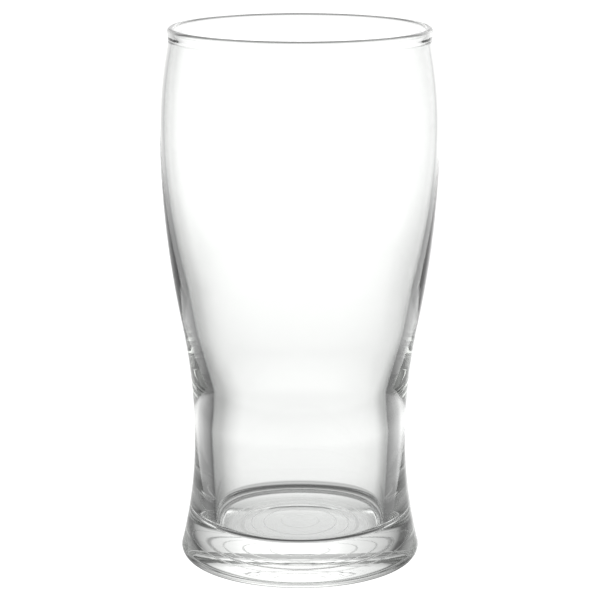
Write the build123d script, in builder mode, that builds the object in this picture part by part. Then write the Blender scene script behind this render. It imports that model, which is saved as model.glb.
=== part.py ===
"""Tulip pint glass, blown and pressed as one piece of clear soda-lime glass.

The glass is a solid of revolution about +Z, standing on its resting ring at z = 0.
From the table up it has a rounded heel, a thick flared foot, a slim waist with a
straight bore inside it, a leaning wall, a wide belly with a thin wall, and a bead
where the rim was melted round. The underside is pushed up inside the resting ring
and carries the shallow rings that the mould's turned bottom plate leaves.

All lengths are in millimetres and all angles in degrees.
"""

from build123d import *
from math import asin, atan2, cos, degrees, radians, sin, sqrt, tan
import os

# Driving dimensions: the outside
HEIGHT = 163.3
BELLY_RADIUS = 42.0
BELLY_HEIGHT = 132.6
BELLY_UPPER_ARC = 130.0  # from the belly in to the rim
WAIST_RADIUS = 32.4
WAIST_HEIGHT = 38.0
WAIST_LOWER_ARC = 141.0  # from the waist out to the heel
HEEL_RADIUS = 3.2
OUTER_SHARE = 0.62  # the belly's part of the two arcs that join belly to waist

# Driving dimensions: the rim and the inside
WALL = 1.45  # at the belly and above it
BEAD_RADIUS = 1.2
BEAD_BLEND = 4.2  # from the rim's top down to where the bead starts to swell
BORE_RADIUS = 27.0
BEND_HEIGHT = 50.0  # where the bore's line and the leaning wall's line cross
BEND_RADIUS = 60.0
INNER_LEAN = 12.6  # of the straight wall between the bend and the belly
FLOOR_HEIGHT = 11.3
FLOOR_FILLET = 3.0

# Driving dimensions: the underside
RESTING_RING_INNER_RADIUS = 29.0
PUNT_DEPTH = 2.0
MOULD_RING_RADII = [4.0, 9.0, 14.0, 19.0, 24.0]
MOULD_RING_DEPTH = 0.05
MOULD_RING_CUTTER = 10.0  # radius of the round-nosed tool that turned the mould


def s_curve_radius(belly_radius, low_radius, low_height):
    """Sum of the two radii of a pair of tangent arcs that leave the belly and the
    low point both upright, and so make the S from one to the other."""
    step_in = belly_radius - low_radius
    rise = BELLY_HEIGHT - low_height
    return (step_in**2 + rise**2) / (2 * step_in)


# Outside: the S from the waist to the belly
outer_sum = s_curve_radius(BELLY_RADIUS, WAIST_RADIUS, WAIST_HEIGHT)
belly_lower_arc = outer_sum * OUTER_SHARE
waist_upper_arc = outer_sum - belly_lower_arc
outer_lean = degrees(asin((BELLY_HEIGHT - WAIST_HEIGHT) / outer_sum))

# Outside: the heel, which touches both the table and the waist's lower arc
heel_rise = WAIST_HEIGHT - HEEL_RADIUS
heel_reach = sqrt((WAIST_LOWER_ARC + HEEL_RADIUS) ** 2 - heel_rise**2)
heel_centre_radius = WAIST_RADIUS + WAIST_LOWER_ARC - heel_reach
heel_lean = degrees(atan2(heel_rise, heel_reach))

# Rim: the bead is tangent to the inner wall and swells outwards
bead_track = BELLY_UPPER_ARC - WALL + BEAD_RADIUS
bead_angle = degrees(asin((HEIGHT - BEAD_RADIUS - BELLY_HEIGHT) / bead_track))
bead_centre_radius = BELLY_RADIUS - BELLY_UPPER_ARC + bead_track * cos(radians(bead_angle))
bead_start_angle = degrees(asin((HEIGHT - BEAD_BLEND - BELLY_HEIGHT) / BELLY_UPPER_ARC))

# Inside: the leaning wall is tangent to the belly's arc above and to the bend below
lean_slope = tan(radians(INNER_LEAN))
half_lean_slope = tan(radians(INNER_LEAN / 2))
inner_step = BELLY_RADIUS - WALL - BORE_RADIUS
cone_top = (inner_step - BELLY_HEIGHT * half_lean_slope + BEND_HEIGHT * lean_slope) / (
    lean_slope - half_lean_slope
)
inner_belly_lower_arc = (BELLY_HEIGHT - cone_top) / sin(radians(INNER_LEAN))
bend_reach = BEND_RADIUS * half_lean_slope
cone_length = (cone_top - BEND_HEIGHT) / cos(radians(INNER_LEAN)) - bend_reach

# Underside: the push-up is a shallow cap of a sphere
punt_sphere = (RESTING_RING_INNER_RADIUS**2 + PUNT_DEPTH**2) / (2 * PUNT_DEPTH)


def punt_height(radius):
    """Height of the push-up's surface above the table at a radius."""
    return PUNT_DEPTH - punt_sphere + sqrt(punt_sphere**2 - radius**2)


with BuildPart() as pint_glass:
    with BuildSketch(Plane.XZ) as section:
        with BuildLine() as outline:
            # Up the outside, from the resting ring to the rim
            ring = Line((RESTING_RING_INNER_RADIUS, 0), (heel_centre_radius, 0))
            heel = JernArc(ring @ 1, ring % 1, HEEL_RADIUS, 90 + heel_lean)
            foot = JernArc(heel @ 1, heel % 1, WAIST_LOWER_ARC, -heel_lean)
            waist = JernArc(foot @ 1, (0, 1), waist_upper_arc, -outer_lean)
            shoulder = JernArc(waist @ 1, waist % 1, belly_lower_arc, outer_lean)
            belly = JernArc(shoulder @ 1, (0, 1), BELLY_UPPER_ARC, bead_start_angle)

            # Round the bead
            bead_centre = (bead_centre_radius, HEIGHT - BEAD_RADIUS)
            bead = CenterArc(bead_centre, BEAD_RADIUS, 0, 180 + bead_angle)
            neck = Spline(belly @ 1, bead @ 0, tangents=[belly % 1, (0, 1)])

            # Down the inside, from the bead to the floor
            inner_belly = JernArc(bead @ 1, bead % 1, BELLY_UPPER_ARC - WALL, -bead_angle)
            inner_shoulder = JernArc(
                inner_belly @ 1, (0, -1), inner_belly_lower_arc, -INNER_LEAN
            )
            cone = Line(
                inner_shoulder @ 1, (inner_shoulder @ 1) + (inner_shoulder % 1) * cone_length
            )
            bend = JernArc(cone @ 1, cone % 1, BEND_RADIUS, INNER_LEAN)
            bore = Line(bend @ 1, (BORE_RADIUS, FLOOR_HEIGHT + FLOOR_FILLET))
            corner = JernArc(bore @ 1, (0, -1), FLOOR_FILLET, -90)
            floor = Line(corner @ 1, (0, FLOOR_HEIGHT))

            # Down the axis and out along the push-up
            axis_line = Line(floor @ 1, (0, PUNT_DEPTH))
            punt = ThreePointArc(
                axis_line @ 1,
                (RESTING_RING_INNER_RADIUS / 2, punt_height(RESTING_RING_INNER_RADIUS / 2)),
                ring @ 0,
            )
        make_face()
    revolve(axis=Axis.Z)

    # The mould's turning rings, sunk a little way into the push-up
    with BuildSketch(Plane.XZ) as mould_rings:
        for radius in MOULD_RING_RADII:
            cutter_height = punt_height(radius) + MOULD_RING_DEPTH - MOULD_RING_CUTTER
            with Locations((radius, cutter_height)):
                Circle(MOULD_RING_CUTTER)
        with Locations((-HEIGHT / 2, 0)):
            Rectangle(HEIGHT, HEIGHT, mode=Mode.SUBTRACT)
    revolve(axis=Axis.Z, mode=Mode.SUBTRACT)

pint_glass.part.label = "pint_glass"

os.makedirs("parts", exist_ok=True)
export_step(pint_glass.part, "parts/pint_glass.step")
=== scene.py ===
"""Looks of a tulip pint glass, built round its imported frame.

The glass is one piece of clear soda-lime glass. Its half-section is drawn as a
glassmaker would draw it, arc after arc, and turned about +Z into one closed body:
the underside with its mould rings, the heel, foot, waist and belly, the bead round
the rim, and the inside down to the floor. It stands on a plain white light table in
a soft, bright field that fades to the sides, so that its edges draw themselves.

All lengths are in metres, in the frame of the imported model.
"""

import logging
import math
from dataclasses import dataclass, field
from enum import Enum

import bpy
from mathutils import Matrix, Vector


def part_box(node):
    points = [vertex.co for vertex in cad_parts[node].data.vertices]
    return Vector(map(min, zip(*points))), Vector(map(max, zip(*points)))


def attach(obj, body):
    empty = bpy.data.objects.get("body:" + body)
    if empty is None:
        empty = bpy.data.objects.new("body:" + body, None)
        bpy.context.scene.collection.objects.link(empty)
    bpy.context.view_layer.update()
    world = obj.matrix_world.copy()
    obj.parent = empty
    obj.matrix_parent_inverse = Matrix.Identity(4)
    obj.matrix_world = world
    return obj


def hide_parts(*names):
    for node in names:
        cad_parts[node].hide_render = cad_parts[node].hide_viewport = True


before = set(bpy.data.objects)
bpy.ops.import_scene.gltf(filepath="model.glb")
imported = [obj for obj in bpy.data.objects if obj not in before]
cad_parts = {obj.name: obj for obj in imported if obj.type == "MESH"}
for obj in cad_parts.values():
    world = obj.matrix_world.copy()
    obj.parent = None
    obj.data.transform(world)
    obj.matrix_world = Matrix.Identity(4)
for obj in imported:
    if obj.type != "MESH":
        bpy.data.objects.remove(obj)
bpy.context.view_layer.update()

LOG = logging.getLogger("pint_glass")
NODE = "pint_glass"
MM = 0.001
GUARD = 0.08 * MM


# --------------------------------------------------------------------------
# Drawing and turning the half-section
# --------------------------------------------------------------------------


class ProfilePen:
    """Draws a half-section in the XZ plane from one vertex, edge by edge."""

    def __init__(self, name: str, radius: float, height: float, heading: float) -> None:
        """Sets the first vertex of the section.

        Args:
            name: Name of the object that the section becomes.
            radius: Distance of the first vertex from the axis.
            height: Height of the first vertex above the table.
            heading: Direction of the first edge in degrees, 0 outwards, 90 upwards.
        """
        bpy.ops.object.select_all(action="DESELECT")
        bpy.ops.mesh.primitive_plane_add(size=MM, location=(0.0, 0.0, 0.0))
        self.piece = bpy.context.active_object
        self.piece.name = name
        bpy.ops.object.mode_set(mode="EDIT")
        bpy.ops.mesh.select_all(action="SELECT")
        bpy.ops.mesh.merge(type="CENTER")
        bpy.ops.transform.translate(value=(radius, 0.0, height))
        self.radius = radius
        self.height = height
        self.heading = heading

    def line_to(self, radius: float, height: float) -> None:
        """Draws one straight edge.

        Args:
            radius: Distance of its far end from the axis.
            height: Height of its far end.
        """
        step = (radius - self.radius, 0.0, height - self.height)
        bpy.ops.mesh.extrude_vertices_move(TRANSFORM_OT_translate={"value": step})
        self.heading = math.degrees(math.atan2(step[2], step[0]))
        self.radius = radius
        self.height = height

    def line(self, length: float, steps: int) -> None:
        """Goes straight ahead, with a short edge at each end to keep the shading flat.

        Args:
            length: Length of the stretch.
            steps: Number of edges between the two short ones.
        """
        heading = self.heading
        start = (self.radius, self.height)
        way = (math.cos(math.radians(heading)), math.sin(math.radians(heading)))
        middle = length - 2 * GUARD
        stops = [GUARD + middle * step / steps for step in range(steps + 1)] + [length]
        for stop in stops:
            self.line_to(start[0] + way[0] * stop, start[1] + way[1] * stop)
        self.heading = heading

    def arc(self, radius: float, angle: float, steps: int) -> None:
        """Goes on round an arc that leaves in the present direction.

        Args:
            radius: Radius of the arc.
            angle: Turn in degrees, positive to the left.
            steps: Number of edges.
        """
        side = math.copysign(1.0, angle)
        heading = math.radians(self.heading)
        centre = (
            self.radius - math.sin(heading) * radius * side,
            self.height + math.cos(heading) * radius * side,
        )
        bpy.ops.mesh.spin(
            steps=steps,
            angle=math.radians(angle),
            center=(centre[0], 0.0, centre[1]),
            axis=(0.0, 1.0, 0.0),
            use_auto_merge=False,
        )
        turned = heading + math.radians(angle)
        self.radius = centre[0] + math.sin(turned) * radius * side
        self.height = centre[1] - math.cos(turned) * radius * side
        self.heading = math.degrees(turned)

    def blend_to(self, radius: float, height: float, heading: float, steps: int) -> None:
        """Goes on along a smooth curve to a point and a direction.

        Args:
            radius: Distance of the curve's end from the axis.
            height: Height of the curve's end.
            heading: Direction at the curve's end, in degrees.
            steps: Number of edges.
        """
        start = Vector((self.radius, self.height))
        end = Vector((radius, height))
        reach = (end - start).length
        leave = Vector((math.cos(math.radians(self.heading)), math.sin(math.radians(self.heading))))
        arrive = Vector((math.cos(math.radians(heading)), math.sin(math.radians(heading))))
        for step in range(1, steps + 1):
            t = step / steps
            point = (
                start * (2 * t**3 - 3 * t**2 + 1)
                + leave * reach * (t**3 - 2 * t**2 + t)
                + end * (3 * t**2 - 2 * t**3)
                + arrive * reach * (t**3 - t**2)
            )
            self.line_to(point.x, point.y)
        self.heading = heading

    def turn(self, steps: int) -> bpy.types.Object:
        """Turns the section about +Z into a closed body with its faces outwards.

        Args:
            steps: Number of faces round the body.

        Returns:
            The body, in object mode, with smooth shading.
        """
        bpy.ops.mesh.select_all(action="SELECT")
        bpy.ops.mesh.spin(
            steps=steps,
            angle=math.tau,
            center=(0.0, 0.0, 0.0),
            axis=(0.0, 0.0, 1.0),
            use_auto_merge=True,
        )
        bpy.ops.mesh.select_all(action="SELECT")
        bpy.ops.mesh.remove_doubles(threshold=2e-6)
        bpy.ops.mesh.normals_make_consistent(inside=False)
        bpy.ops.object.mode_set(mode="OBJECT")
        bpy.ops.object.shade_smooth()
        return self.piece


# --------------------------------------------------------------------------
# The stretches of the half-section
# --------------------------------------------------------------------------


@dataclass
class PushUp:
    """The underside inside the resting ring, with the mould's turning rings."""

    ring_radius: float = 29.0 * MM
    depth: float = 2.0 * MM
    blend: float = 0.5 * MM
    grooves: tuple[tuple[float, float], ...] = (
        (4.0 * MM, 0.002 * MM),
        (9.0 * MM, 0.002 * MM),
        (14.0 * MM, 0.002 * MM),
        (19.0 * MM, 0.002 * MM),
        (24.0 * MM, 0.002 * MM),
    )
    groove_half_width: float = 0.55 * MM
    steps: int = 36

    def height(self, radius: float) -> float:
        """Works out the height of the underside.

        Args:
            radius: Distance from the axis.

        Returns:
            The height above the table, with the grooves in it.
        """
        sphere = (self.ring_radius**2 + self.depth**2) / (2 * self.depth)
        bowl = self.depth - sphere + math.sqrt(sphere**2 - radius**2)
        for groove, depth in self.grooves:
            off = (radius - groove) / self.groove_half_width
            if abs(off) < 1.0:
                bowl += depth * (1.0 - off**2) ** 2
        return bowl

    def draw(self, pen: ProfilePen) -> None:
        """Draws from the axis out to the resting ring, closely stepped over the grooves.

        Args:
            pen: The pen, at the underside's middle.
        """
        reach = self.ring_radius - self.blend
        stops = [reach * step / self.steps for step in range(1, self.steps + 1)]
        for groove, _ in self.grooves:
            stops = [stop for stop in stops if abs(stop - groove) > self.groove_half_width]
            stops += [groove + self.groove_half_width * step / 4 for step in range(-4, 5)]
        for radius in sorted(stops):
            pen.line_to(radius, self.height(radius))
        pen.blend_to(self.ring_radius + self.blend, 0.0, 0.0, 4)


@dataclass
class Outside:
    """The outside, from the resting ring up to where the bead starts."""

    belly_radius: float
    belly_height: float = 132.6 * MM
    belly_upper_arc: float = 130.0 * MM
    waist_radius: float = 32.4 * MM
    waist_height: float = 38.0 * MM
    waist_lower_arc: float = 141.0 * MM
    heel_radius: float = 3.2 * MM
    share: float = 0.62

    def draw(self, pen: ProfilePen, stop_height: float) -> None:
        """Draws the resting ring, heel, foot, waist, shoulder and belly.

        Args:
            pen: The pen, at the inner edge of the resting ring.
            stop_height: Height at which the bead starts to swell.
        """
        rise = self.waist_height - self.heel_radius
        reach = math.sqrt((self.waist_lower_arc + self.heel_radius) ** 2 - rise**2)
        lean = math.degrees(math.atan2(rise, reach))
        heel_centre = self.waist_radius + self.waist_lower_arc - reach
        pen.line(heel_centre - pen.radius, 3)
        pen.arc(self.heel_radius, 90.0 + lean, 18)
        pen.arc(self.waist_lower_arc, -lean, 26)
        step_in = self.belly_radius - self.waist_radius
        climb = self.belly_height - self.waist_height
        both = (step_in**2 + climb**2) / (2 * step_in)
        turn = math.degrees(math.asin(climb / both))
        pen.arc(both * (1.0 - self.share), -turn, 26)
        pen.arc(both * self.share, turn, 32)
        last = math.asin((stop_height - self.belly_height) / self.belly_upper_arc)
        pen.arc(self.belly_upper_arc, math.degrees(last), 14)


@dataclass
class Rim:
    """The fire-polished bead, tangent to the inner wall and swelling outwards."""

    top: float
    bead_radius: float = 1.2 * MM
    blend: float = 4.2 * MM

    def draw(self, pen: ProfilePen, wall: float, outside: Outside) -> None:
        """Draws the swelling and the bead, and turns the pen down the inside.

        Args:
            pen: The pen, where the bead starts to swell.
            wall: Thickness of the wall.
            outside: The outside that the bead ends.
        """
        track = outside.belly_upper_arc - wall + self.bead_radius
        angle = math.asin((self.top - self.bead_radius - outside.belly_height) / track)
        centre = outside.belly_radius - outside.belly_upper_arc + track * math.cos(angle)
        pen.blend_to(centre + self.bead_radius, self.top - self.bead_radius, 90.0, 10)
        pen.arc(self.bead_radius, 180.0 + math.degrees(angle), 22)


@dataclass
class Inside:
    """The inside, from the bead down to the middle of the floor."""

    wall: float = 1.45 * MM
    bore_radius: float = 27.0 * MM
    bend_height: float = 50.0 * MM
    bend_radius: float = 60.0 * MM
    lean: float = 12.6
    floor_height: float = 11.3 * MM
    fillet: float = 3.0 * MM

    def cone_top(self, outside: Outside) -> float:
        """Works out where the leaning wall meets the belly's arc.

        Args:
            outside: The outside, whose belly the inside follows.

        Returns:
            The height above the table.
        """
        lean = math.tan(math.radians(self.lean))
        half_lean = math.tan(math.radians(self.lean / 2))
        step_in = outside.belly_radius - self.wall - self.bore_radius
        run = step_in - outside.belly_height * half_lean + self.bend_height * lean
        return run / (lean - half_lean)

    def draw(self, pen: ProfilePen, outside: Outside) -> None:
        """Draws the inner belly, leaning wall, bend, bore, corner and floor.

        Args:
            pen: The pen, heading down from the bead.
            outside: The outside, whose belly the inside follows.
        """
        pen.arc(outside.belly_upper_arc - self.wall, -(pen.heading % 360.0 - 270.0), 16)
        top = self.cone_top(outside)
        angle = math.radians(self.lean)
        pen.arc((outside.belly_height - top) / math.sin(angle), -self.lean, 22)
        bend_reach = self.bend_radius * math.tan(angle / 2)
        cone = (top - self.bend_height) / math.cos(angle) - bend_reach
        pen.line(cone, 6)
        pen.arc(self.bend_radius, self.lean, 10)
        pen.line(self.bend_height - bend_reach - self.floor_height - self.fillet, 4)
        pen.arc(self.fillet, -90.0, 14)
        pen.line(pen.radius, 6)


# --------------------------------------------------------------------------
# Finishes
# --------------------------------------------------------------------------


def new_material(name: str) -> tuple[bpy.types.Material, bpy.types.NodeTree]:
    """Makes an empty node material.

    Args:
        name: Name of the material.

    Returns:
        The material and its node tree, with no nodes in it.
    """
    material = bpy.data.materials.new(name)
    material.use_nodes = True
    material.node_tree.nodes.clear()
    return material, material.node_tree


def add_node(tree: bpy.types.NodeTree, kind: str, **values: object) -> bpy.types.Node:
    """Adds a node and sets its properties.

    Args:
        tree: The tree that it goes in.
        kind: The node's type.
        **values: Properties of the node.

    Returns:
        The node.
    """
    node = tree.nodes.new(kind)
    for key, value in values.items():
        setattr(node, key, value)
    return node


def grey_ramp(
    tree: bpy.types.NodeTree,
    place: bpy.types.NodeSocket,
    stops: list[tuple[float, float]],
) -> bpy.types.NodeSocket:
    """Adds a ramp of grey levels.

    Args:
        tree: The tree that it goes in.
        place: The value that the ramp reads.
        stops: Places on the ramp, from 0 to 1, and the levels there.

    Returns:
        The level, as a colour socket.
    """
    node = add_node(tree, "ShaderNodeValToRGB")
    made = node.color_ramp.elements
    for index, (where, level) in enumerate(stops):
        stop = made[index] if index < 2 else made.new(where)
        stop.position = where
        stop.color = (level, level, level, 1.0)
    tree.links.new(place, node.inputs["Fac"])
    return node.outputs["Color"]


class Side(Enum):
    """Side of a limit on which a value is kept."""

    BELOW = "LESS_THAN"
    ABOVE = "GREATER_THAN"


@dataclass(frozen=True)
class WearAndShadeLines:
    """Fine lines: matt worn rings underneath, and painted shade lines, two round the heel and one
    along the rim.
    """

    rings: tuple[tuple[float, float, float], ...] = (
        (6.0 * MM, 0.5 * MM, 0.5),
        (11.5 * MM, 0.5 * MM, 0.7),
        (15.5 * MM, 0.5 * MM, 0.7),
        (18.5 * MM, 1.0 * MM, 1.0),
        (22.0 * MM, 0.6 * MM, 0.5),
    )
    rings_below: float = 3.0 * MM
    # Painted shade: two dark lines round the heel, each with its height, half-width and strength.
    shade_lines: tuple[tuple[float, float, float], ...] = (
        (1.5 * MM, 0.2 * MM, 0.9),
        (2.45 * MM, 0.22 * MM, 1.0),
    )
    shade_lines_beyond: float = 33.5 * MM
    # Painted shade: a dark line along the top of the rim, with the heights where it rises and its
    # strength.
    rim_from: float = 162.75 * MM
    rim_to: float = 163.05 * MM
    rim_shade_strength: float = 0.6

    def lines(
        self,
        tree: bpy.types.NodeTree,
        place: bpy.types.NodeSocket,
        lines: tuple[tuple[float, float, float], ...],
    ) -> bpy.types.NodeSocket:
        """Adds the nodes for a row of fine lines.

        Args:
            tree: The tree that they go in.
            place: Distance across the lines.
            lines: Middle, half-width and strength of each line.

        Returns:
            The lines' strength, as a colour socket.
        """
        span = 1.1 * lines[-1][0]
        share = add_node(tree, "ShaderNodeMath", operation="DIVIDE")
        share.inputs[1].default_value = span
        tree.links.new(place, share.inputs[0])
        stops = []
        for middle, half, strength in lines:
            stops.append(((middle - half) / span, 0.0))
            stops.append((middle / span, strength))
            stops.append(((middle + half) / span, 0.0))
        return grey_ramp(tree, share.outputs["Value"], stops)

    def rim(self, tree: bpy.types.NodeTree, height: bpy.types.NodeSocket) -> bpy.types.NodeSocket:
        """Adds the node for the painted shade line along the top of the rim.

        Args:
            tree: The tree that it goes in.
            height: Height above the table.

        Returns:
            The line's strength.
        """
        line = add_node(tree, "ShaderNodeMapRange", interpolation_type="SMOOTHSTEP")
        line.inputs["From Min"].default_value = self.rim_from
        line.inputs["From Max"].default_value = self.rim_to
        line.inputs["To Max"].default_value = self.rim_shade_strength
        tree.links.new(height, line.inputs["Value"])
        return line.outputs["Result"]

    def where(
        self,
        tree: bpy.types.NodeTree,
        lines: bpy.types.NodeSocket,
        side: Side,
        value: bpy.types.NodeSocket,
        limit: float,
    ) -> bpy.types.NodeSocket:
        """Adds the nodes that keep lines on one side of a limit.

        Args:
            tree: The tree that they go in.
            lines: The lines' strength.
            side: The side on which they are kept.
            value: The value that is tested.
            limit: The limit.

        Returns:
            The strength of the lines that are kept.
        """
        test = add_node(tree, "ShaderNodeMath", operation=side.value)
        test.inputs[1].default_value = limit
        tree.links.new(value, test.inputs[0])
        kept = add_node(tree, "ShaderNodeMath", operation="MULTIPLY")
        tree.links.new(lines, kept.inputs[0])
        tree.links.new(test.outputs["Value"], kept.inputs[1])
        return kept.outputs["Value"]


def glass_skin_group(wear_and_shade: WearAndShadeLines) -> bpy.types.NodeTree:
    """Builds the skin of a used glass: washing haze, fine worn rings, painted shade lines and faint
    waves.

    Args:
        wear_and_shade: The worn rings and the painted shade lines.

    Returns:
        A node group that puts out a roughness, a height and a mask of the painted shade lines.
    """
    group = bpy.data.node_groups.new("glass_skin", "ShaderNodeTree")
    face = group.interface
    for name, value in (("Haze", 0.01), ("Matt", 0.5), ("Wave Scale", 60.0)):
        socket = face.new_socket(name, in_out="INPUT", socket_type="NodeSocketFloat")
        socket.default_value = value
    for name in ("Roughness", "Waves", "Shade Lines"):
        face.new_socket(name, in_out="OUTPUT", socket_type="NodeSocketFloat")
    given = add_node(group, "NodeGroupInput")
    result = add_node(group, "NodeGroupOutput")
    place = add_node(group, "ShaderNodeTexCoord")
    links = group.links

    waves = add_node(group, "ShaderNodeTexNoise")
    waves.inputs["Detail"].default_value = 1.0
    links.new(place.outputs["Object"], waves.inputs["Vector"])
    links.new(given.outputs["Wave Scale"], waves.inputs["Scale"])
    links.new(waves.outputs["Fac"], result.inputs["Waves"])

    film = add_node(group, "ShaderNodeTexNoise")
    film.inputs["Scale"].default_value = 35.0
    film.inputs["Detail"].default_value = 4.0
    links.new(place.outputs["Object"], film.inputs["Vector"])
    film_share = add_node(group, "ShaderNodeMapRange")
    film_share.inputs["From Min"].default_value = 0.5
    film_share.inputs["From Max"].default_value = 0.8
    links.new(film.outputs["Fac"], film_share.inputs["Value"])
    haze = add_node(group, "ShaderNodeMath", operation="MULTIPLY")
    links.new(film_share.outputs["Result"], haze.inputs[0])
    links.new(given.outputs["Haze"], haze.inputs[1])

    split = add_node(group, "ShaderNodeSeparateXYZ")
    links.new(place.outputs["Object"], split.inputs["Vector"])
    height = split.outputs["Z"]
    flat = add_node(group, "ShaderNodeVectorMath", operation="MULTIPLY")
    flat.inputs[1].default_value = (1.0, 1.0, 0.0)
    links.new(place.outputs["Object"], flat.inputs[0])
    reach = add_node(group, "ShaderNodeVectorMath", operation="LENGTH")
    links.new(flat.outputs["Vector"], reach.inputs[0])
    radius = reach.outputs["Value"]
    rings = wear_and_shade.lines(group, radius, wear_and_shade.rings)
    rings = wear_and_shade.where(group, rings, Side.BELOW, height, wear_and_shade.rings_below)
    # Painted shade lines round the heel, kept outside the foot, and along the top of the rim.
    shade_lines = wear_and_shade.lines(group, height, wear_and_shade.shade_lines)
    shade_lines = wear_and_shade.where(group, shade_lines, Side.ABOVE, radius, wear_and_shade.shade_lines_beyond)
    shaded = add_node(group, "ShaderNodeMath", operation="MAXIMUM")
    links.new(shade_lines, shaded.inputs[0])
    links.new(wear_and_shade.rim(group, height), shaded.inputs[1])
    links.new(shaded.outputs["Value"], result.inputs["Shade Lines"])
    total = add_node(group, "ShaderNodeMath", operation="MULTIPLY_ADD")
    links.new(rings, total.inputs[0])
    links.new(given.outputs["Matt"], total.inputs[1])
    links.new(haze.outputs["Value"], total.inputs[2])
    links.new(total.outputs["Value"], result.inputs["Roughness"])
    return group


@dataclass(frozen=True)
class ClearGlass:
    """Fire-polished clear soda-lime glass, faintly green where it is thick."""

    name: str = "clear_glass"
    ior: float = 1.52
    tint: tuple[float, float, float] = (0.994, 1.0, 0.994)
    depth_colour: tuple[float, float, float] = (0.6, 0.75, 0.55)
    depth_density: float = 0.6
    wave_height: float = 0.01 * MM
    haze: float = 0.003
    matt: float = 0.7
    # Colour of the painted shade lines round the heel and along the rim.
    shade_line_colour: tuple[float, float, float] = (0.03, 0.03, 0.03)
    wear_and_shade: WearAndShadeLines = field(default_factory=WearAndShadeLines)

    def make(self) -> bpy.types.Material:
        """Makes the glass.

        Returns:
            The node material.
        """
        material, tree = new_material(self.name)
        links = tree.links
        skin = add_node(tree, "ShaderNodeGroup", node_tree=glass_skin_group(self.wear_and_shade))
        skin.inputs["Haze"].default_value = self.haze
        skin.inputs["Matt"].default_value = self.matt
        bump = add_node(tree, "ShaderNodeBump")
        bump.inputs["Strength"].default_value = 1.0
        bump.inputs["Distance"].default_value = self.wave_height
        links.new(skin.outputs["Waves"], bump.inputs["Height"])
        body = add_node(tree, "ShaderNodeBsdfPrincipled")
        # Base colour: the clear tint, darkened to painted shade along the lines in the skin's mask.
        colour = add_node(tree, "ShaderNodeMixRGB")
        colour.inputs["Color1"].default_value = (*self.tint, 1.0)
        colour.inputs["Color2"].default_value = (*self.shade_line_colour, 1.0)
        links.new(skin.outputs["Shade Lines"], colour.inputs["Fac"])
        links.new(colour.outputs["Color"], body.inputs["Base Color"])
        body.inputs["IOR"].default_value = self.ior
        body.inputs["Transmission Weight"].default_value = 1.0
        links.new(skin.outputs["Roughness"], body.inputs["Roughness"])
        links.new(bump.outputs["Normal"], body.inputs["Normal"])
        depth = add_node(tree, "ShaderNodeVolumeAbsorption")
        depth.inputs["Color"].default_value = (*self.depth_colour, 1.0)
        depth.inputs["Density"].default_value = self.depth_density
        output = add_node(tree, "ShaderNodeOutputMaterial")
        links.new(body.outputs["BSDF"], output.inputs["Surface"])
        links.new(depth.outputs["Volume"], output.inputs["Volume"])
        return material


@dataclass(frozen=True)
class LightTable:
    """White acrylic sheet lit from below."""

    name: str = "light_table"
    strength: float = 1.17

    def make(self) -> bpy.types.Material:
        """Makes the lit sheet.

        Returns:
            The node material.
        """
        material, tree = new_material(self.name)
        glow = add_node(tree, "ShaderNodeEmission")
        glow.inputs["Strength"].default_value = self.strength
        output = add_node(tree, "ShaderNodeOutputMaterial")
        tree.links.new(glow.outputs["Emission"], output.inputs["Surface"])
        return material


@dataclass(frozen=True)
class FootShade:
    """The patch of table under the foot: a glowing disc with a painted shadow, brighter in the middle
    for the light through the glass and dark at the ring.
    """

    name: str = "foot_shade"
    middle: float = 0.64
    edge: float = 0.06
    edge_from: float = 22.0 * MM
    edge_to: float = 29.0 * MM

    def make(self) -> bpy.types.Material:
        """Makes the shaded patch.

        Returns:
            The node material.
        """
        material, tree = new_material(self.name)
        place = add_node(tree, "ShaderNodeTexCoord")
        reach = add_node(tree, "ShaderNodeVectorMath", operation="LENGTH")
        tree.links.new(place.outputs["Object"], reach.inputs[0])
        level = add_node(tree, "ShaderNodeMapRange", interpolation_type="SMOOTHSTEP")
        level.inputs["From Min"].default_value = self.edge_from
        level.inputs["From Max"].default_value = self.edge_to
        level.inputs["To Min"].default_value = self.middle
        level.inputs["To Max"].default_value = self.edge
        tree.links.new(reach.outputs["Value"], level.inputs["Value"])
        glow = add_node(tree, "ShaderNodeEmission")
        tree.links.new(level.outputs["Result"], glow.inputs["Strength"])
        output = add_node(tree, "ShaderNodeOutputMaterial")
        tree.links.new(glow.outputs["Emission"], output.inputs["Surface"])
        material.cycles.emission_sampling = "NONE"
        return material


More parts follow.
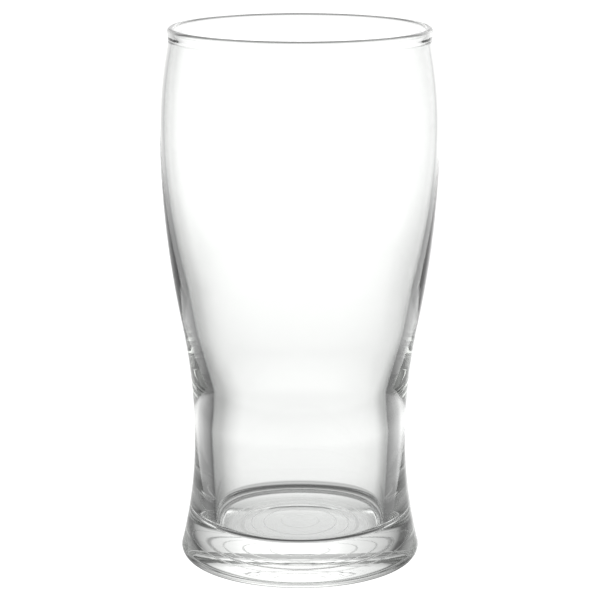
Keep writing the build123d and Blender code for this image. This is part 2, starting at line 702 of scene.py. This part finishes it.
@dataclass(frozen=True)
class BrightField:
    """What the glass refracts: a soft light wall between two dark flags, in a grey room."""

    name: str = "bright_field"
    turn: float = 4.0
    above: float = 0.6
    above_from: float = 40.0
    above_to: float = 60.0
    table: float = 1.2
    table_from: float = 35.0
    table_to: float = 41.0
    horizon: float = 0.12
    low_stops: tuple[tuple[float, float], ...] = (
        (0.0, 1.42),
        (13.0, 1.4),
        (18.0, 1.12),
        (23.0, 0.8),
        (28.0, 0.66),
        (36.0, 0.56),
        (44.0, 0.46),
        (52.0, 0.34),
        (57.0, 0.2),
        (66.0, 0.18),
        (80.0, 0.42),
        (140.0, 0.7),
        (180.0, 0.6),
    )
    high_stops: tuple[tuple[float, float], ...] = (
        (0.0, 1.3),
        (13.0, 1.2),
        (19.0, 0.98),
        (25.0, 0.84),
        (33.0, 0.7),
        (40.0, 0.56),
        (45.0, 0.4),
        (50.0, 0.12),
        (57.0, 0.07),
        (68.0, 0.2),
        (95.0, 0.28),
        (130.0, 0.2),
        (180.0, 0.1),
    )
    down_stops: tuple[tuple[float, float], ...] = (
        (0.0, 1.0),
        (9.0, 1.0),
        (12.0, 0.94),
        (15.0, 0.82),
        (18.0, 0.73),
        (24.0, 0.7),
        (28.0, 0.6),
        (32.0, 0.42),
        (36.0, 0.36),
        (41.0, 0.55),
        (48.0, 0.42),
        (56.0, 0.1),
        (90.0, 0.02),
    )

    def level_across(
        self,
        tree: bpy.types.NodeTree,
        share: bpy.types.NodeSocket,
        stops: tuple[tuple[float, float], ...],
    ) -> bpy.types.NodeSocket:
        """Adds the nodes for the light's level round the glass.

        Args:
            tree: The material's tree.
            share: Angle from the middle of the light wall, as a share of half a turn.
            stops: Angles in degrees and the levels there.

        Returns:
            The level, as a colour socket.
        """
        return grey_ramp(tree, share, [(angle / 180.0, level) for angle, level in stops])

    def level_down(
        self, tree: bpy.types.NodeTree, height: bpy.types.NodeSocket
    ) -> bpy.types.NodeSocket:
        """Adds the nodes for the share of light that is left below the horizon.

        Args:
            tree: The material's tree.
            height: Sine of the direction's elevation.

        Returns:
            The share, as a colour socket.
        """
        depth = add_node(tree, "ShaderNodeMath", operation="MULTIPLY")
        depth.inputs[1].default_value = -1.0
        tree.links.new(height, depth.inputs[0])
        stops = [(math.sin(math.radians(angle)), level) for angle, level in self.down_stops]
        return grey_ramp(tree, depth.outputs["Value"], stops)

    def angle_share(self, tree: bpy.types.NodeTree, way: bpy.types.NodeSocket) -> bpy.types.NodeSocket:
        """Adds the nodes for the angle from the middle of the light wall.

        Args:
            tree: The material's tree.
            way: Directions from the glass, X right and Y away from the camera.

        Returns:
            The angle either way round, as a share of half a turn.
        """
        links = tree.links
        turned = add_node(tree, "ShaderNodeVectorRotate", rotation_type="Z_AXIS")
        turned.inputs["Angle"].default_value = math.radians(self.turn)
        links.new(way, turned.inputs["Vector"])
        split = add_node(tree, "ShaderNodeSeparateXYZ")
        links.new(turned.outputs["Vector"], split.inputs["Vector"])
        across = add_node(tree, "ShaderNodeMath", operation="ARCTAN2")
        links.new(split.outputs["X"], across.inputs[0])
        links.new(split.outputs["Y"], across.inputs[1])
        size = add_node(tree, "ShaderNodeMath", operation="ABSOLUTE")
        links.new(across.outputs["Value"], size.inputs[0])
        share = add_node(tree, "ShaderNodeMath", operation="DIVIDE")
        share.inputs[1].default_value = math.pi
        links.new(size.outputs["Value"], share.inputs[0])
        return share.outputs["Value"]

    def faded(
        self,
        tree: bpy.types.NodeTree,
        colour: bpy.types.NodeSocket,
        height: bpy.types.NodeSocket,
        band: tuple[float, float, float],
    ) -> bpy.types.NodeSocket:
        """Adds the nodes that fade a colour to a plain level over a band of heights.

        Args:
            tree: The material's tree.
            colour: The colour that fades.
            height: Sine of the direction's elevation.
            band: Elevations where the fade starts and ends, and the level it reaches.

        Returns:
            The faded colour, as a socket.
        """
        start, end, level = band
        share = add_node(tree, "ShaderNodeMapRange", interpolation_type="SMOOTHSTEP")
        share.inputs["From Min"].default_value = math.sin(math.radians(start))
        share.inputs["From Max"].default_value = math.sin(math.radians(end))
        tree.links.new(height, share.inputs["Value"])
        mixed = add_node(tree, "ShaderNodeMixRGB")
        mixed.inputs["Color2"].default_value = (level, level, level, 1.0)
        tree.links.new(share.outputs["Result"], mixed.inputs["Fac"])
        tree.links.new(colour, mixed.inputs["Color1"])
        return mixed.outputs["Color"]

    def make(self) -> bpy.types.Material:
        """Makes the field, which reads directions from its own object.

        Returns:
            The node material.
        """
        material, tree = new_material(self.name)
        links = tree.links
        place = add_node(tree, "ShaderNodeTexCoord")
        straight = add_node(tree, "ShaderNodeVectorMath", operation="NORMALIZE")
        links.new(place.outputs["Object"], straight.inputs[0])
        split = add_node(tree, "ShaderNodeSeparateXYZ")
        links.new(straight.outputs["Vector"], split.inputs["Vector"])
        height = split.outputs["Z"]
        share = self.angle_share(tree, straight.outputs["Vector"])
        half = add_node(tree, "ShaderNodeMapRange", interpolation_type="SMOOTHSTEP")
        half.inputs["From Min"].default_value = -self.horizon
        half.inputs["From Max"].default_value = self.horizon
        links.new(height, half.inputs["Value"])
        halves = add_node(tree, "ShaderNodeMixRGB")
        links.new(half.outputs["Result"], halves.inputs["Fac"])
        links.new(self.level_across(tree, share, self.low_stops), halves.inputs["Color1"])
        links.new(self.level_across(tree, share, self.high_stops), halves.inputs["Color2"])
        level = halves.outputs["Color"]
        level = self.faded(tree, level, height, (self.above_from, self.above_to, self.above))
        level = self.faded(tree, level, height, (-self.table_from, -self.table_to, self.table))
        lowered = add_node(tree, "ShaderNodeMixRGB", blend_type="MULTIPLY")
        lowered.inputs["Fac"].default_value = 1.0
        links.new(level, lowered.inputs["Color1"])
        links.new(self.level_down(tree, height), lowered.inputs["Color2"])
        level = lowered.outputs["Color"]
        glow = add_node(tree, "ShaderNodeEmission")
        links.new(level, glow.inputs["Color"])
        output = add_node(tree, "ShaderNodeOutputMaterial")
        links.new(glow.outputs["Emission"], output.inputs["Surface"])
        material.cycles.emission_sampling = "NONE"
        return material


# --------------------------------------------------------------------------
# The glass
# --------------------------------------------------------------------------


@dataclass
class PintGlass:
    """The whole glass: one closed body turned from its half-section."""

    name: str = "tulip_pint_glass"
    sides: int = 288
    finish: ClearGlass = field(default_factory=ClearGlass)
    push_up: PushUp = field(default_factory=PushUp)
    inside: Inside = field(default_factory=Inside)

    def build(self) -> bpy.types.Object:
        """Draws, turns and dresses the glass, and puts it on its CAD body.

        Returns:
            The finished glass.
        """
        _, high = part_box(NODE)
        outside = Outside(belly_radius=high.x)
        rim = Rim(top=high.z)
        pen = ProfilePen(self.name, 0.0, self.push_up.height(0.0), 0.0)
        self.push_up.draw(pen)
        outside.draw(pen, rim.top - rim.blend)
        rim.draw(pen, self.inside.wall, outside)
        self.inside.draw(pen, outside)
        glass = pen.turn(self.sides)
        glass.data.materials.clear()
        glass.data.materials.append(self.finish.make())
        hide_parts(NODE)
        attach(glass, "root")
        LOG.info("%s: %d faces", glass.name, len(glass.data.polygons))
        return glass


# --------------------------------------------------------------------------
# The studio
# --------------------------------------------------------------------------


@dataclass
class Studio:
    """Light table, camera, and the bright field that the camera carries with it."""

    camera_place: tuple[float, float, float] = (0.0, -0.7034, 0.2404)
    camera_pitch: float = 12.83
    lens: float = 142.35
    table_radius: float = 4.0
    shade_radius: float = 36.0 * MM
    field_radius: float = 4.0
    bounces: int = 40

    def build(self) -> None:
        """Sets up the table, the camera, the field and the world."""
        self.make_table()
        self.make_foot_shade()
        camera = self.make_camera()
        self.make_field(camera)
        self.make_world()

    def make_table(self) -> None:
        """Lays the light table that the glass stands on."""
        bpy.ops.object.select_all(action="DESELECT")
        bpy.ops.mesh.primitive_circle_add(
            vertices=96, radius=self.table_radius, fill_type="NGON", location=(0.0, 0.0, 0.0)
        )
        table = bpy.context.active_object
        table.name = "light_table"
        table.data.materials.append(LightTable().make())
        table.visible_glossy = False
        table.visible_transmission = False
        LOG.info("%s: radius %.1f m", table.name, self.table_radius)

    def make_foot_shade(self) -> None:
        """Lays the painted shadow under the foot, which shows only through the glass."""
        bpy.ops.object.select_all(action="DESELECT")
        bpy.ops.mesh.primitive_circle_add(
            vertices=96, radius=self.shade_radius, fill_type="NGON", location=(0.0, 0.0, -0.05 * MM)
        )
        shade = bpy.context.active_object
        shade.name = "foot_shade"
        shade.data.materials.append(FootShade().make())
        shade.visible_camera = False

    def make_camera(self) -> bpy.types.Object:
        """Places the camera and makes it the scene's.

        Returns:
            The camera.
        """
        data = bpy.data.cameras.new("camera")
        data.lens = self.lens
        data.sensor_width = 36.0
        data.clip_start = 0.01
        data.clip_end = 20.0
        camera = bpy.data.objects.new("camera", data)
        camera.location = self.camera_place
        camera.rotation_euler = (math.radians(90.0 - self.camera_pitch), 0.0, 0.0)
        bpy.context.scene.collection.objects.link(camera)
        bpy.context.scene.camera = camera
        return camera

    def make_field(self, camera: bpy.types.Object) -> None:
        """Hangs the bright field round the glass, unseen by the camera that carries it.

        Args:
            camera: The camera, which the field turns with.
        """
        bpy.ops.object.select_all(action="DESELECT")
        bpy.ops.mesh.primitive_uv_sphere_add(
            segments=64, ring_count=32, radius=self.field_radius, location=(0.0, 0.0, 0.0)
        )
        dome = bpy.context.active_object
        dome.name = "bright_field"
        dome.data.materials.append(BrightField().make())
        dome.visible_camera = False
        dome.visible_shadow = False
        bpy.context.view_layer.update()
        dome.parent = camera
        dome.matrix_parent_inverse = camera.matrix_world.inverted()

    def make_world(self) -> None:
        """Fills the room with plain white light."""
        world = bpy.data.worlds.new("white_room")
        world.use_nodes = True
        background = world.node_tree.nodes["Background"]
        background.inputs["Color"].default_value = (1.0, 1.0, 1.0, 1.0)
        background.inputs["Strength"].default_value = 1.17
        scene = bpy.context.scene
        scene.world = world
        scene.view_settings.view_transform = "Standard"
        scene.cycles.max_bounces = self.bounces
        scene.cycles.glossy_bounces = self.bounces
        scene.cycles.transmission_bounces = self.bounces


def main() -> None:
    """Builds the glass and the studio round it."""
    logging.basicConfig(level=logging.INFO, format="%(name)s: %(message)s")
    PintGlass().build()
    Studio().build()


if __name__ == "__main__":
    main()
